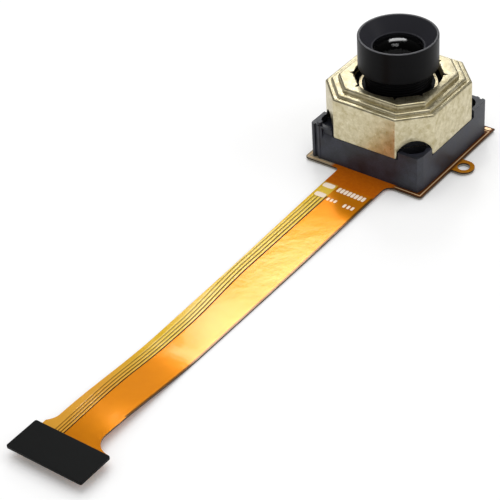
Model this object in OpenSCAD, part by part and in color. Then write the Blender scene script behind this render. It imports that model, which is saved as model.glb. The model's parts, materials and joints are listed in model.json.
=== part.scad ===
// Autofocus camera module: a square sensor head with a voice-coil motor in a drawn
// octagonal can, on a flex circuit whose long tail ends in a board-to-board plug.
// Origin: optical axis, underside of the head's steel stiffener. Lens looks along +Z,
// the tail runs along -Y. Units are millimetres.

/* [Flex circuit] */
// How far the head pad stands out past the base on each side
pad_margin = 0.6; // [0.4:0.1:1.2]
// Thickness of the flex circuit
fpc_t = 0.2; // [0.1:0.05:0.3]
// Length of the tail from the pad to the connector plate
tail_len = 53.9; // [46:0.1:90]
// Distance from the optical axis to the tail's straight edge
tail_edge_x = 3.6; // [3.2:0.1:4.4]
// Width of the tail where it leaves the pad
tail_w_head = 6.9; // [6:0.1:8]
// Width of the tail just before it flares to the connector
tail_w_end = 5.85; // [4.6:0.05:6]
// Length over which the tail comes down from the pad
tail_drop_len = 24; // [10:1:24]
// Length over which the tail climbs to the connector
tail_climb_len = 17; // [10:1:18]
// Radius of the flares beside the connector
flare_r = 2.1; // [1:0.1:3]
// Diameter of the hole in the fixing ear
ear_hole_d = 1.5; // [1:0.1:1.6]
// Outer diameter of the fixing ear
ear_d = 2.6; // [2.2:0.1:3.4]
// Distance from the pad's edge to the ear's hole
ear_reach = 0.95; // [0.85:0.05:1.6]

/* [Stiffener] */
// Thickness of the steel stiffener under the head
stiffener_t = 0.25; // [0.15:0.05:0.5]
// How far the stiffener stays inside the pad's edge
stiffener_inset = 0.1; // [0:0.05:0.3]

/* [Connector] */
// Width of the connector plate
plate_w = 9.8; // [9.4:0.1:12]
// Depth of the connector plate along the tail
plate_d = 4.5; // [3.6:0.1:6]
// Thickness of the connector plate
plate_t = 0.35; // [0.2:0.05:0.6]
// Sideways offset of the connector from the optical axis
plate_x = 1.35; // [1:0.05:1.8]
// Height of the plug under the flex circuit
plug_h = 0.95; // [0.6:0.05:1.4]
// Width of the plug over its two walls
plug_w = 2.4; // [2.2:0.1:2.8]
// Contact pitch
contact_pitch = 0.4; // [0.35:0.05:0.45]
// Contacts along each side
contact_count = 15; // [10:1:17]
// Width of one contact
contact_w = 0.2; // [0.14:0.02:0.24]

/* [Base] */
// Side of the square black base
base_side = 15.2; // [15:0.1:17]
// Height of the base's wall above the flex circuit
base_h = 3.7; // [3.4:0.1:5]
// Wall of the base
base_wall = 0.9; // [0.6:0.1:1.1]
// Height of the corner posts above the wall
post_rise = 1.0; // [0.6:0.1:1.6]
// Length of a corner post along the base's side
post_len = 2.9; // [2.4:0.1:3.2]
// How far the hollow in each post's top reaches out from the can
well_reach = 1.0; // [0.4:0.1:1.2]
// Width of that hollow where it meets the can
well_w = 2.9; // [2:0.1:3]
// Room for the sensor under the base's deck
sensor_room_h = 1.9; // [1.2:0.1:2]
// Thickness of the deck that carries the filter
deck_t = 0.9; // [0.6:0.1:1.2]

/* [Can] */
// Set-back of the can from the base's side
can_inset = 0.05; // [0:0.05:0.2]
// Length of each flat side of the can
can_flat = 8.6; // [8.4:0.1:9]
// Height of the can's outer wall
can_wall_h = 5.35; // [5:0.05:6.5]
// Sheet thickness of the can
can_t = 0.25; // [0.15:0.05:0.3]
// Width of the can's outer shoulder
shoulder_w = 0.6; // [0.5:0.05:0.8]
// Height of the small step after the shoulder
step_h = 0.35; // [0.1:0.05:0.4]
// Width of the ledge after the small step
ledge_w = 0.85; // [0.6:0.05:0.9]
// Height of the raised cap above the ledge
cap_h = 0.6; // [0.5:0.05:1.2]
// Diameter of the round opening in the cap
mouth_d = 10.6; // [10.2:0.1:10.8]
// Width of the arch cut in each chamfer of the can
arch_w = 4.2; // [3:0.1:4.2]
// Straight height of the arch's sides
arch_side_h = 0.75; // [0.4:0.05:1.2]
// Rise of the arch's crown above its sides
arch_rise = 1.38; // [0.8:0.02:1.8]

/* [Lens] */
// Diameter of the barrel's head
barrel_d = 9.6; // [8.8:0.1:10]
// Height of the barrel's head
barrel_head_h = 4.05; // [3.5:0.05:5]
// Gap between the can's cap and the barrel's head
barrel_gap = 1.3; // [0.8:0.05:2]
// Diameter of the threaded neck
neck_d = 7.8; // [7.6:0.1:8]
// Width of the flat front rim
rim_w = 0.3; // [0.15:0.05:0.5]
// Diameter of the mouth cone at its foot
cone_foot_d = 6.4; // [6.2:0.1:6.8]
// Depth of the mouth cone
cone_depth = 1.6; // [1.2:0.05:1.9]
// Bore for the lens elements
stack_d = 6.6; // [6.5:0.1:6.9]
// Clear diameter of the front lens
front_lens_d = 6.0; // [5.4:0.1:6]
// Height of the front lens's dome
dome_h = 0.7; // [0.4:0.05:0.9]
// Thickness of the lip that holds the front lens
lip_t = 0.4; // [0.3:0.05:0.6]

/* [Motor] */
// Length of each magnet
magnet_l = 7.2; // [6:0.1:7.4]
// Thickness of each magnet
magnet_t = 1.0; // [0.7:0.05:1.05]
// Height of each magnet
magnet_h = 3.2; // [2.6:0.1:3.3]
// Gap between the magnets and the coil
coil_gap = 0.4; // [0.25:0.05:0.5]
// Thickness of the coil winding
coil_t = 0.55; // [0.4:0.05:0.65]
// Thickness of the leaf springs
spring_t = 0.08; // [0.05:0.01:0.1]
// Radial width of the springs' inner ring
spring_ring_w = 0.3; // [0.3:0.05:0.5]

/* [Sensor] */
// Image sensor size along X
sensor_w = 8.0; // [6:0.1:9]
// Image sensor size along Y
sensor_d = 6.2; // [4.5:0.1:7]
// Thickness of the image sensor
sensor_t = 0.35; // [0.2:0.05:0.5]
// Filter size along X
filter_w = 9.6; // [9.4:0.1:10]
// Filter size along Y
filter_d = 7.6; // [7.4:0.1:8.2]
// Thickness of the filter
filter_t = 0.3; // [0.2:0.05:0.4]

/* [Hidden] */
$fn = 96;

// Overshoot of a cut past the face it opens
cut = 1;

// Heights, from the stiffener's underside up
z_fpc = stiffener_t;
z_pad = z_fpc + fpc_t;
z_wall = z_pad + base_h;
z_post = z_wall + post_rise;
z_shoulder = z_wall + can_wall_h;
z_step = z_shoulder + step_h;
z_cap = z_step + cap_h;
z_head = z_cap + barrel_gap;
z_front = z_head + barrel_head_h;
z_room = z_pad + sensor_room_h;
z_deck = z_room + deck_t;

// Half sizes
half_base = base_side / 2;
half_pad = half_base + pad_margin;
half_can = half_base - can_inset;
half_flat = can_flat / 2;

// Places along the tail
y_pad = -half_pad;
y_plate = y_pad - tail_len;
y_end = y_plate - plate_d;
plate_overlap = 0.25;

// Clearances and small common sizes
slip = 0.05;
edge_r = 0.3;

// An octagon with its flats at distance a and half flats of length c
function octagon(a, c) = [
    [c, -a], [a, -c], [a, c], [c, a], [-c, a], [-a, c], [-a, -c], [-c, -a]
];

// Half flat of an octagon after its sides have moved in by d
function flat_in(c, d) = c - d * (sqrt(2) - 1);

// Half flat of an octagon whose flats are at a and whose chamfers are at distance k
function flat_for(a, k) = k * sqrt(2) - a;

// Distance from the axis to an octagon's chamfers
function chamfer_at(a, c) = (a + c) / sqrt(2);

function unit(v) = v / norm(v);

// A convex outline with its corners rounded to radius r by n steps
function rounded(pts, r, n = 4) = [
    for (i = [0 : len(pts) - 1])
        let (
            p = pts[i],
            before = unit(p - pts[(i + len(pts) - 1) % len(pts)]),
            after = unit(pts[(i + 1) % len(pts)] - p),
            turn = acos(before * after),
            centre = p + unit(after - before) * r / cos(turn / 2),
            start = atan2(-before[0], before[1])
        )
        for (k = [0 : n])
            centre + r * [cos(start + turn * k / n), sin(start + turn * k / n)]
];

function box_pts(hx, hy) = [[-hx, -hy], [hx, -hy], [hx, hy], [-hx, hy]];

// Points of an arc from angle a0 to a1 about a centre
function arc(centre, r, a0, a1, n) = [
    for (k = [0 : n])
        centre + r * [cos(a0 + (a1 - a0) * k / n), sin(a0 + (a1 - a0) * k / n)]
];

module slab(z0, z1) {
    translate([0, 0, z0])
        linear_extrude(z1 - z0)
            children();
}

module tube(r_out, r_in, z0, z1) {
    difference() {
        translate([0, 0, z0])
            cylinder(r = r_out, h = z1 - z0);
        translate([0, 0, z0 - cut])
            cylinder(r = r_in, h = z1 - z0 + 2 * cut);
    }
}

// A closed skin through rings of equal point count, from the lowest up
module loft(rings) {
    n = len(rings[0]);
    count = len(rings);
    polyhedron(
        points = [for (ring = rings) for (p = ring) p],
        faces = concat(
            [[for (i = [0 : n - 1]) i]],
            [for (k = [0 : count - 2]) for (i = [0 : n - 1])
                [k * n + i, (k + 1) * n + i, (k + 1) * n + (i + 1) % n, k * n + (i + 1) % n]],
            [[for (i = [n - 1 : -1 : 0]) (count - 1) * n + i]]
        )
    );
}

// ---------- Flex circuit ----------

pad_corner_r = 0.4;
root_fillet_right = 1.0;
root_fillet_left = 0.4;
ear_x = half_pad + ear_reach;
ear_y = -0.1;
tail_left_head = tail_edge_x - tail_w_head;
tail_left_end = tail_edge_x - tail_w_end;
flex_end_inset = 0.6;
flex_left = plate_x - plate_w / 2 + flex_end_inset;
flex_right = plate_x + plate_w / 2 - flex_end_inset;
y_flare = y_plate + plate_overlap;

// Concave fillet in the corner at the origin, opening towards +X and +Y
module fillet_2d(r) {
    difference() {
        translate([-slip, -slip])
            square(r + slip);
        translate([r, r])
            circle(r);
    }
}

module ear_2d(inset) {
    hull() {
        translate([ear_x, ear_y])
            circle(ear_d / 2 - inset, $fn = 48);
        translate([half_pad - 0.5, ear_y])
            square([0.5, ear_d - 2 * inset], center = true);
    }
}

// Small plated tab on the far edge, for grounding the head
module ground_tab_2d(inset) {
    tab_w = 1.4;
    tab_reach = 0.6;
    translate([half_pad - tab_w - inset, half_pad - 1])
        square([tab_w, 1 + tab_reach - inset]);
}

module pad_2d(inset) {
    difference() {
        union() {
            polygon(rounded(box_pts(half_pad - inset, half_pad - inset), pad_corner_r));
            ground_tab_2d(inset);
            ear_2d(inset);
        }
        translate([ear_x, ear_y])
            circle(ear_hole_d / 2);
    }
}

module tail_2d() {
    tail_top = y_pad + 1;
    polygon([
        [tail_left_head, tail_top], [tail_left_end, y_flare],
        [tail_edge_x, y_flare], [tail_edge_x, tail_top]
    ]);
    translate([flex_left, y_end + flex_end_inset])
        square([flex_right - flex_left, y_flare - y_end - flex_end_inset]);
    // Flares beside the connector
    translate([tail_edge_x, y_flare])
        fillet_2d(flare_r);
    intersection() {
        translate([tail_left_end, y_flare])
            mirror([1, 0])
                fillet_2d(flare_r);
        translate([flex_left, y_flare - slip])
            square([tail_left_end - flex_left + 2 * slip, flare_r + slip]);
    }
}

// Fillets where the tail leaves the pad
module root_fillets_2d() {
    translate([tail_edge_x, y_pad])
        mirror([0, 1])
            fillet_2d(root_fillet_right);
    translate([tail_left_head, y_pad])
        rotate(180)
            fillet_2d(root_fillet_left);
}

function ease(t) = (1 - cos(180 * t)) / 2;

y_drop_start = y_pad - root_fillet_right;
y_drop_end = y_drop_start - tail_drop_len;
y_climb_end = y_flare + flare_r / 2;
y_climb_start = y_climb_end + tail_climb_len;

// Height of the tail's underside at a place along it
function tail_z(y) =
    y > y_drop_start ? z_fpc :
    y > y_drop_end ? z_fpc * (1 - ease((y_drop_start - y) / tail_drop_len)) :
    y > y_climb_start ? 0 :
    y > y_climb_end ? plug_h * ease((y_climb_start - y) / tail_climb_len) :
    plug_h;

module tail_side_2d() {
    steps = 30;
    ys = concat(
        [y_pad + 1],
        [for (k = [0 : steps]) y_drop_start - tail_drop_len * k / steps],
        [for (k = [0 : steps]) y_climb_start - tail_climb_len * k / steps],
        [y_end]
    );
    polygon(concat(
        [for (y = ys) [y, tail_z(y)]],
        [for (i = [len(ys) - 1 : -1 : 0]) [ys[i], tail_z(ys[i]) + fpc_t]]
    ));
}

module fpc() {
    color("#d98a1a") {
        slab(z_fpc, z_pad) {
            pad_2d(0);
            root_fillets_2d();
        }
        intersection() {
            slab(-cut, z_pad + plug_h + cut)
                tail_2d();
            translate([-half_pad, 0, 0])
                rotate([90, 0, 90])
                    linear_extrude(2 * half_pad)
                        tail_side_2d();
        }
    }
}

module head_stiffener() {
    color("#b9b4a8")
        slab(0, z_fpc)
            pad_2d(stiffener_inset);
}

// ---------- Connector ----------

z_plug = plug_h;
z_plate = plug_h + fpc_t;
plug_y = y_plate - plate_d / 2;
plug_end = 1.0;
plug_len = (contact_count - 1) * contact_pitch + 2 * plug_end;
plug_floor_t = 0.3;
plug_wall_t = 0.45;
contact_t = 0.06;
contact_tail = 0.4;
wall_y = plug_w / 2 - contact_t - plug_wall_t;
wall_out_y = wall_y + plug_wall_t;

module at_plug() {
    translate([plate_x, plug_y, 0])
        children();
}

module connector_stiffener() {
    color("#232425")
        translate([plate_x, plug_y, 0])
            slab(z_plate, z_plate + plate_t)
                polygon(rounded(box_pts(plate_w / 2, plate_d / 2), 0.2, 3));
}

module connector_housing() {
    contact_span = plug_len - 2 * plug_end + 2 * contact_w;
    color("#1c1c1e")
        at_plug()
            difference() {
                slab(0, z_plug)
                    polygon(rounded(box_pts(plug_len / 2, wall_out_y), 0.1, 2));
                // Channel for the mating tongue
                translate([-plug_len / 2 + plug_end / 2, -wall_y, -cut])
                    cube([plug_len - plug_end, 2 * wall_y, z_plug - plug_floor_t + cut]);
                // The walls stop short under the contacts' tips
                translate([-contact_span / 2, -plug_w, -cut])
                    cube([contact_span, 2 * plug_w, contact_t + cut]);
            }
}

// One contact: a strip folded over the plug's wall, with a solder tail
module contact() {
    translate([-contact_w / 2, 0, 0])
        rotate([90, 0, 90])
            linear_extrude(contact_w)
                polygon([
                    [wall_y - contact_t, 0],
                    [wall_out_y + contact_t, 0],
                    [wall_out_y + contact_t, z_plug - contact_t],
                    [wall_out_y + contact_t + contact_tail, z_plug - contact_t],
                    [wall_out_y + contact_t + contact_tail, z_plug],
                    [wall_out_y, z_plug],
                    [wall_out_y, contact_t],
                    [wall_y, contact_t],
                    [wall_y, z_plug - plug_floor_t],
                    [wall_y - contact_t, z_plug - plug_floor_t]
                ]);
}

module connector_contacts() {
    color("#d8b45a")
        at_plug()
            for (k = [0 : contact_count - 1], turn = [0, 180])
                rotate(turn)
                    translate([(k - (contact_count - 1) / 2) * contact_pitch, 0, 0])
                        contact();
}

module connector_hold_downs() {
    hold_down_t = 0.1;
    hold_down_w = 1.4;
    foot = 0.4;
    color("#d8b45a")
        at_plug()
            for (turn = [0, 180])
                rotate(turn)
                    translate([plug_len / 2, hold_down_w / 2, 0])
                        rotate([90, 0, 0])
                            linear_extrude(hold_down_w)
                                polygon([
                                    [0, 0.15], [hold_down_t, 0.15],
                                    [hold_down_t, z_plug - hold_down_t],
                                    [foot, z_plug - hold_down_t], [foot, z_plug], [0, z_plug]
                                ]);
}

// ---------- Sensor board parts ----------

module image_sensor() {
    color("#3d3550")
        slab(z_pad, z_pad + sensor_t)
            square([sensor_w, sensor_d], center = true);
}

chip_y = sensor_d / 2 + 1.2;

module driver_chip() {
    chip_size = [1.9, 1.1, 0.45];
    color("#26262a")
        translate([-2.4 - chip_size[0] / 2, chip_y - chip_size[1] / 2, z_pad])
            cube(chip_size);
}

module capacitors() {
    cap_size = [1.0, 0.5, 0.5];
    spacing = 1.6;
    color("#8a6f52")
        for (k = [0 : 4]) {
            translate([(k - 2) * spacing - cap_size[0] / 2, -chip_y - cap_size[1] / 2, z_pad])
                cube(cap_size);
            if (k > 1)
                translate([(k - 2) * spacing - cap_size[0] / 2, chip_y - cap_size[1] / 2, z_pad])
                    cube(cap_size);
        }
}

// ---------- Base ----------

half_room = half_base - base_wall;
half_recess = half_base - base_wall - 0.4;
recess_k = half_recess + 0.5;
window_margin = 0.7;
well_r = (pow(well_w / 2, 2) + pow(well_reach, 2)) / (2 * well_reach);
well_centre = chamfer_at(half_can, half_flat) + well_reach - well_r;
terminal_x = 2.2;
terminal_w = 0.6;
terminal_t = 0.15;
corner_r = 0.35;
facet_len = 1.0;
facet_in = 0.25;

// The base's outline, with a shallow facet at two opposite corners
module base_2d() {
    difference() {
        polygon(rounded(box_pts(half_base, half_base), corner_r));
        for (turn = [0, 180])
            rotate(turn)
                translate([half_base, -half_base])
                    polygon([
                        [-facet_in, -cut], [cut, -cut], [cut, facet_len], [0, facet_len], [-facet_in, 0]
                    ]);
    }
}

module can_room_2d() {
    polygon(octagon(half_can + slip, flat_in(half_flat, -slip)));
}

module recess_2d(gap) {
    a = half_recess - gap;
    polygon(octagon(a, flat_for(a, recess_k - gap)));
}

module corner_posts_2d() {
    difference() {
        intersection() {
            base_2d();
            for (q = [0 : 3])
                rotate(90 * q)
                    translate([half_base - post_len, half_base - post_len])
                        square(post_len + cut);
        }
        can_room_2d();
    }
}

// Round hollow in the top of each post, beside the can's arch
module wells() {
    hollow_h = post_rise - 0.1;
    for (q = [0 : 3])
        rotate(45 + 90 * q)
            translate([well_centre, 0, z_post - hollow_h])
                cylinder(r = well_r, h = hollow_h + cut);
}

// A locating stud on one post, and a half-round rib up two of the posts
module stud_and_ribs() {
    stud_r = 0.35;
    stud_h = 0.4;
    stud_at = 1.1;
    rib_r = 0.2;
    rib_at = 1.2;
    translate([stud_at - half_base, stud_r - half_base, z_post - cut])
        cylinder(r = stud_r, h = cut + stud_h);
    for (turn = [0, 180])
        rotate(turn)
            translate([rib_at - half_base, 0.1 - half_base, z_pad])
                cylinder(r = rib_r, h = z_post - z_pad);
}

// Sloped pocket and upright groove on the outer face of the two posts with a rib
module post_cuts() {
    pocket_at = 1.6;
    pocket_w = post_len - pocket_at + 0.1;
    pocket_depth = 0.3;
    pocket_lip = 0.25;
    groove_at = 0.55;
    groove_w = 0.35;
    for (turn = [0, 180])
        rotate(turn)
            translate([-half_base, -half_base, 0]) {
                translate([pocket_at, 0, 0])
                    rotate([90, 0, 90])
                        linear_extrude(pocket_w)
                            polygon([
                                [-cut, z_wall - 0.7], [0, z_wall - 0.7],
                                [pocket_depth, z_wall], [pocket_depth, z_post - pocket_lip],
                                [-cut, z_post - pocket_lip]
                            ]);
                translate([groove_at, -cut, z_pad - cut])
                    cube([groove_w, cut + 0.2, z_post - z_pad + 2 * cut]);
            }
}

module terminal_grooves() {
    for (x = [-terminal_x, terminal_x])
        translate([x - terminal_w / 2, half_base - terminal_t, z_pad - cut])
            cube([terminal_w, terminal_t + cut, base_h + terminal_t + 2 * cut]);
}

module lens_holder() {
    color("#37383d")
        difference() {
            union() {
                slab(z_pad, z_wall)
                    base_2d();
                slab(z_wall - cut, z_post)
                    corner_posts_2d();
                stud_and_ribs();
            }
            // Room over the sensor
            slab(z_pad - cut, z_room)
                polygon(rounded(box_pts(half_room, half_room), 0.5));
            // Recess for the motor's spigot
            slab(z_deck, z_wall + cut)
                recess_2d(0);
            // Window and filter seat
            slab(z_room - cut, z_deck + cut)
                square([filter_w - 2 * window_margin, filter_d - 2 * window_margin], center = true);
            slab(z_deck - filter_t, z_deck + cut)
                square([filter_w, filter_d], center = true);
            intersection() {
                wells();
                difference() {
                    slab(0, z_post + cut)
                        square(4 * half_base, center = true);
                    slab(-cut, z_post + 2 * cut)
                        can_room_2d();
                }
            }
            post_cuts();
            terminal_grooves();
        }
}

module ir_cut_filter() {
    color("#9fb8c4", 0.6)
        slab(z_deck - filter_t, z_deck)
            square([filter_w, filter_d], center = true);
}

// ---------- Motor: fixed parts ----------

neck_r = neck_d / 2;
half_in = half_can - can_t;
half_frame = half_in - slip;
frame_k = chamfer_at(half_frame, flat_in(half_flat, can_t + slip)) - 0.3;
post_t = 0.6;
frame_c = flat_for(half_frame, frame_k);
vcm_base_t = 0.9;
z_lower = z_wall + vcm_base_t;
z_frame = z_lower + spring_t;
z_upper = z_shoulder - can_t - spring_t;
magnet_y = half_frame - 0.1 - magnet_t;
half_window = magnet_y - slip;
z_magnet = (z_frame + z_upper - magnet_h) / 2;
ring_gap = 0.45;
ring_r = neck_r + ring_gap;

// Side outline of one terminal: up the base, over its wall and up into the motor's base
module terminal_2d() {
    inner_y = half_recess + 0.1;
    polygon([
        [half_base - terminal_t, z_pad], [half_base, z_pad],
        [half_base, z_wall + terminal_t], [inner_y + terminal_t, z_wall + terminal_t],
        [inner_y + terminal_t, z_lower], [inner_y, z_lower],
        [inner_y, z_wall], [half_base - terminal_t, z_wall]
    ]);
}

module terminals() {
    color("#c9b27a")
        for (x = [-terminal_x, terminal_x])
            translate([x - terminal_w / 2, 0, 0])
                rotate([90, 0, 90])
                    linear_extrude(terminal_w)
                        terminal_2d();
}

// Solder fillet between each terminal and its pad
module solder_joints() {
    r = min(0.5, pad_margin - 0.1);
    width = 0.8;
    color("#c8c8c4")
        for (x = [-terminal_x, terminal_x])
            translate([x - width / 2, half_base, z_pad])
                rotate([90, 0, 90])
                    linear_extrude(width)
                        polygon(concat([[0, 0]], arc([r, r], r, 270, 180, 8)));
}

module vcm_base() {
    opening_r = neck_r + 0.5;
    color("#2b2c30")
        difference() {
            union() {
                slab(z_wall, z_lower)
                    polygon(octagon(half_frame, frame_c));
                slab(z_deck + slip, z_wall + slip)
                    recess_2d(0.1);
            }
            translate([0, 0, z_deck - cut])
                cylinder(r = opening_r, h = vcm_base_t + z_wall - z_deck + 2 * cut);
            for (x = [-terminal_x, terminal_x])
                translate([x - terminal_w / 2, 0, 0])
                    rotate([90, 0, 90])
                        linear_extrude(terminal_w)
                            terminal_2d();
        }
}

// A point turned about the origin by an angle
function turned(p, angle) = [
    p[0] * cos(angle) - p[1] * sin(angle), p[0] * sin(angle) + p[1] * cos(angle)
];

// Outline of one spring arm: from the frame, along an arc, then in to the ring
function arm_outline(r, w, turn, r_frame, r_ring) = concat(
    [[r_frame, 0], [r_frame, w]],
    arc([0, 0], r + w / 2, asin(w / (r + w / 2)), turn, 16),
    [turned([r_ring, 0], turn), turned([r_ring, -w], turn)],
    arc([0, 0], r - w / 2, turn - asin(w / (r - w / 2)), 0, 16)
);

// A leaf spring: inner ring, four arc arms and the outer frame
module spring_2d() {
    ring_out = ring_r + spring_ring_w;
    frame_in = half_frame - 0.85;
    frame_out = half_frame - slip;
    arm_r = (ring_out + frame_in) / 2;
    arm_w = 0.24;
    arm_turn = 70;
    link = 0.1;
    difference() {
        circle(ring_out);
        circle(ring_r);
    }
    difference() {
        polygon(octagon(frame_out, flat_for(frame_out, frame_k - slip)));
        polygon(octagon(frame_in, flat_for(frame_in, frame_k - 0.85)));
    }
    for (q = [0 : 3])
        rotate(90 * q)
            polygon(arm_outline(arm_r, arm_w, arm_turn, frame_in + link, ring_out - link));
}

module upper_leaf_spring() {
    color("#c9a24a")
        slab(z_upper, z_upper + spring_t)
            spring_2d();
}

// The lower spring is in two halves, one for each end of the coil
module lower_leaf_springs() {
    split = 0.3;
    color("#c9a24a")
        slab(z_lower, z_lower + spring_t)
            difference() {
                spring_2d();
                square([split, 4 * half_base], center = true);
            }
}

module magnet_block(angle) {
    rotate(angle)
        translate([-magnet_l / 2, magnet_y, z_magnet])
            cube([magnet_l, magnet_t, magnet_h]);
}

module magnet(angle) {
    color("#8d9196")
        magnet_block(angle);
}

module magnet_front() {
    magnet(180);
}

module magnet_right() {
    magnet(270);
}

module magnet_back() {
    magnet(0);
}

module magnet_left() {
    magnet(90);
}

module magnet_frame() {
    color("#2f3034")
        difference() {
            slab(z_frame, z_upper)
                polygon(octagon(half_frame, frame_c));
            slab(z_frame - cut, z_upper + cut)
                polygon(octagon(half_window, flat_for(half_window, frame_k - post_t)));
            // Windows that hold the magnets
            for (q = [0 : 3])
                rotate(90 * q)
                    translate([-magnet_l / 2, half_window - cut, z_magnet])
                        cube([magnet_l, half_frame - half_window + 2 * cut, magnet_h]);
        }
}

// ---------- Can ----------

bend_r = 0.28;
bend_steps = 5;
step_bend = 0.8;

// Ring of the can's outline, moved in by inset, at height z
function can_ring(inset, z) = [
    for (p = rounded(octagon(half_can - inset, flat_in(half_flat, inset)), edge_r, 3))
        [p[0], p[1], z]
];

// Rings of a bend of radius r that ends at inset and height z
function bend_rings(inset, z, r = bend_r) = [
    for (a = [0 : 90 / bend_steps : 90])
        can_ring(inset + r * (1 - cos(a)), z - r * (1 - sin(a)))
];

module can_skin() {
    loft(concat(
        [can_ring(0, z_wall)],
        bend_rings(0, z_shoulder),
        [can_ring(shoulder_w, z_shoulder)],
        bend_rings(shoulder_w, z_step, step_h * step_bend),
        [can_ring(shoulder_w + ledge_w, z_step)],
        bend_rings(shoulder_w + ledge_w, z_cap)
    ));
}

module can_hollow() {
    module room(inset, z1) {
        slab(z_wall - cut, z1)
            polygon(octagon(half_can - inset, flat_in(half_flat, inset)));
    }
    room(can_t, z_shoulder - can_t);
    room(shoulder_w + can_t, z_step - can_t);
    room(shoulder_w + ledge_w + can_t, z_cap - can_t);
}

// Round opening in the cap, with a bent tab on each diagonal between two relief notches
tab_w = 2.6;
tab_len = 0.9;
tab_bend_x = mouth_d / 2;

module can_mouth_2d() {
    notch_reach = 0.6;
    notch_w = 0.45;
    notch_turn = 16.5;
    circle(mouth_d / 2);
    for (q = [0 : 3])
        rotate(45 + 90 * q) {
            translate([0, -tab_w / 2])
                square([tab_bend_x + 0.1, tab_w]);
            for (side = [-1, 1])
                rotate(side * notch_turn)
                    polygon([
                        [mouth_d / 2 - notch_w, -notch_w], [mouth_d / 2 + notch_reach, 0],
                        [mouth_d / 2 - notch_w, notch_w]
                    ]);
        }
}

// Tabs bent down from the cap's opening
module can_tabs() {
    for (q = [0 : 3])
        rotate(45 + 90 * q)
            translate([0, tab_w / 2, 0])
                rotate([90, 0, 0])
                    linear_extrude(tab_w)
                        polygon(concat(
                            [[tab_bend_x - can_t, z_cap - tab_len], [tab_bend_x, z_cap - tab_len]],
                            [[tab_bend_x, z_cap - can_t], [tab_bend_x + 0.2, z_cap - can_t]],
                            [[tab_bend_x + 0.2, z_cap]],
                            arc([tab_bend_x, z_cap - can_t], can_t, 90, 180, 6)
                        ));
}

module arch_2d() {
    crown_r = (pow(arch_w / 2, 2) + pow(arch_rise, 2)) / (2 * arch_rise);
    intersection() {
        translate([-arch_w / 2, -cut])
            square([arch_w, arch_side_h + arch_rise + 2 * cut]);
        union() {
            translate([-arch_w / 2, -cut])
                square([arch_w, arch_side_h + cut]);
            translate([0, arch_side_h + arch_rise - crown_r])
                circle(crown_r);
        }
    }
}

module vcm_can() {
    notch_w = terminal_w + 0.2;
    color("#cbc29e") {
        can_tabs();
        difference() {
            can_skin();
            can_hollow();
            slab(z_cap - can_t - cut, z_cap + cut)
                can_mouth_2d();
            // Arch in each chamfer
            for (q = [0 : 3])
                rotate(45 + 90 * q)
                    translate([half_base, 0, z_wall])
                        rotate([90, 0, 90])
                            linear_extrude(half_base)
                                arch_2d();
            // Notches over the terminals
            for (x = [-terminal_x, terminal_x])
                translate([x - notch_w / 2, half_in - cut, z_wall - cut])
                    cube([notch_w, can_t + 2 * cut, cut + terminal_t + 0.1]);
        }
    }
}

// ---------- Moving lens group ----------

carrier_r = ring_r + spring_ring_w + 0.05;
half_coil = magnet_y - coil_gap;
half_seat = half_coil - coil_t;
corner_gap = 0.3;
coil_corner_k = frame_k - post_t - corner_gap;
coil_corner_r = (half_coil * sqrt(2) - coil_corner_k) / (sqrt(2) - 1);
flange_t = 0.25;
z_coil = z_magnet + 0.2;
coil_h = magnet_h - 0.6;
barrel_r = barrel_d / 2;
cone_r = barrel_r - rim_w;
stack_r = stack_d / 2;
spacer_r = stack_r - 0.7;
z_lip = z_front - cone_depth;
z_stack = z_lip - lip_t;
front_lens_t = 1.6;
stop_t = 0.1;
second_lens_t = 1.4;
front_spacer_t = 1.1;
third_lens_t = 1.4;
rear_spacer_t = 1.0;
rear_lens_t = 1.6;
retainer_t = 0.6;
z_stop = z_stack - front_lens_t - stop_t;
z_second = z_stop - second_lens_t;
z_front_spacer = z_second - front_spacer_t;
z_third = z_front_spacer - third_lens_t;
z_rear_spacer = z_third - rear_spacer_t;
z_rear = z_rear_spacer - rear_lens_t;
z_tail = z_rear - retainer_t;

module soft_square_2d(half, r) {
    polygon(rounded(box_pts(half, half), r, 10));
}

module lens_carrier() {
    color("#232428")
        difference() {
            union() {
                translate([0, 0, z_frame])
                    cylinder(r = carrier_r, h = z_upper - z_frame);
                slab(z_coil - flange_t, z_coil + coil_h + flange_t)
                    soft_square_2d(half_seat, coil_corner_r - coil_t);
                for (z = [z_coil - flange_t, z_coil + coil_h])
                    slab(z, z + flange_t)
                        soft_square_2d(half_coil - 0.15, coil_corner_r - 0.15);
            }
            translate([0, 0, z_frame - cut])
                cylinder(r = neck_r, h = z_upper - z_frame + 2 * cut);
        }
}

module coil() {
    color("#b5672f")
        slab(z_coil, z_coil + coil_h)
            difference() {
                soft_square_2d(half_coil, coil_corner_r);
                soft_square_2d(half_seat, coil_corner_r - coil_t);
            }
}

module lens_barrel() {
    bevel = 0.1;
    rim_bevel = 0.06;
    aperture_r = front_lens_d / 2;
    color("#1d1d20")
        rotate_extrude()
            polygon([
                [stack_r, z_tail], [neck_r, z_tail], [neck_r, z_head],
                [barrel_r - bevel, z_head], [barrel_r, z_head + bevel],
                [barrel_r, z_front - rim_bevel], [barrel_r - rim_bevel, z_front],
                [cone_r, z_front], [cone_foot_d / 2, z_lip], [aperture_r, z_lip],
                [aperture_r, z_stack], [stack_r, z_stack]
            ]);
}

// Height of a spherical cap of radius of curvature big_r at distance x from the axis
function sag(big_r, x) = big_r - sqrt(big_r * big_r - x * x);

// Radius of curvature of a dome of height h over a circle of radius r
function dome_radius(r, h) = (r * r + h * h) / (2 * h);

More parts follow.
